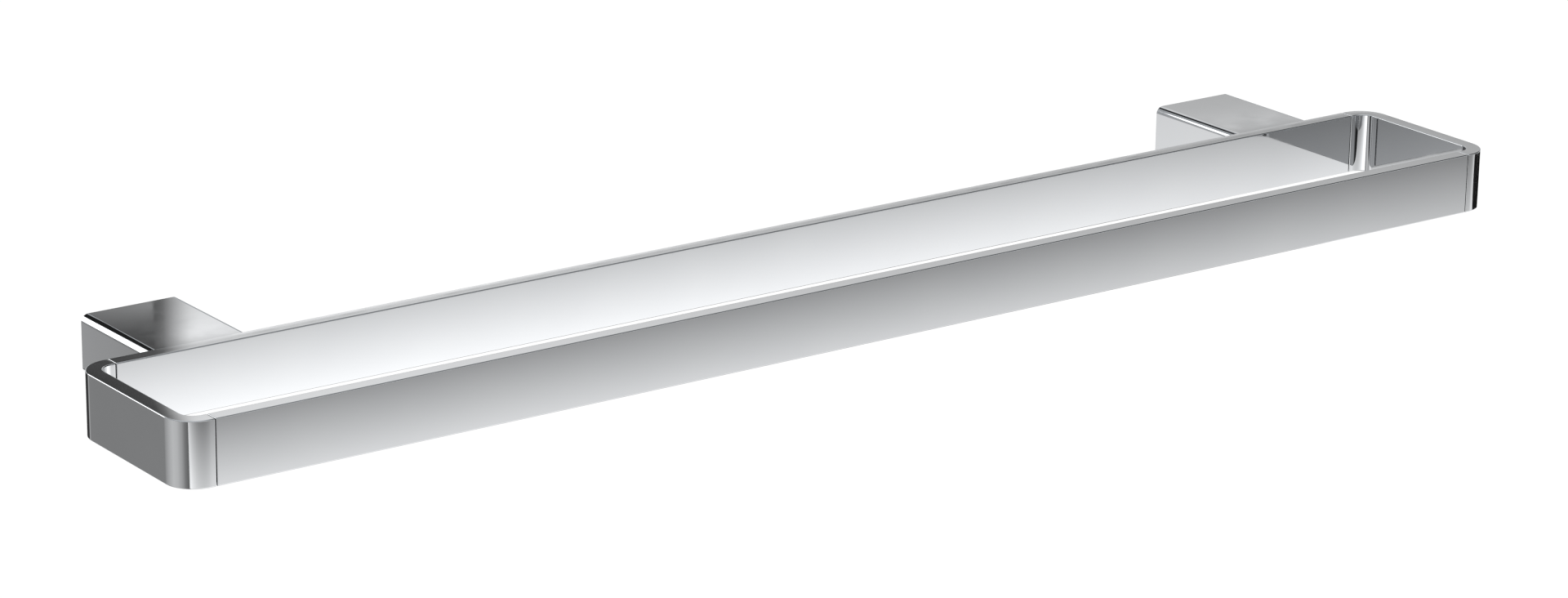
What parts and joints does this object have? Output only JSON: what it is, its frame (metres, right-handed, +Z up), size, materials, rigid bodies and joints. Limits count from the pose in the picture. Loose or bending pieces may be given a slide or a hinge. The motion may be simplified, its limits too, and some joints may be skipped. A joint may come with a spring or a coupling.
{
  "type": "towel rack",
  "caption": "Wall-mounted towel rack: a flat rounded-rectangle frame in polished chrome, held level by short hollow brackets.",
  "frame": {"origin": "on the wall plane, midway between the brackets, at the mid-height of the frame", "axes": "+X along the rack, +Y into the wall, +Z up; the front rail faces -Y"},
  "size_m": [0.6, 0.126, 0.0242],
  "materials": {
    "chrome": "mirror polished",
    "steel": "bright stainless",
    "zinc": "zinc plated",
    "brass": "as cut"
  },
  "bodies": {
    "root": {"front_rail": "chrome", "rear_rail": "chrome", "left_end_bow": "chrome", "right_end_bow": "chrome", "left_bracket": "chrome", "right_bracket": "chrome", "front_left_joint_screws": "steel", "front_right_joint_screws": "steel", "rear_left_joint_screws": "steel", "rear_right_joint_screws": "steel", "left_bracket_screws": "steel", "right_bracket_screws": "steel", "left_lock_washers": "steel", "right_lock_washers": "steel", "left_set_screw": "steel", "right_set_screw": "steel", "left_wall_plate": "zinc", "right_wall_plate": "zinc", "left_clamp_plate": "brass", "right_clamp_plate": "brass"}
  },
  "joints": []
}
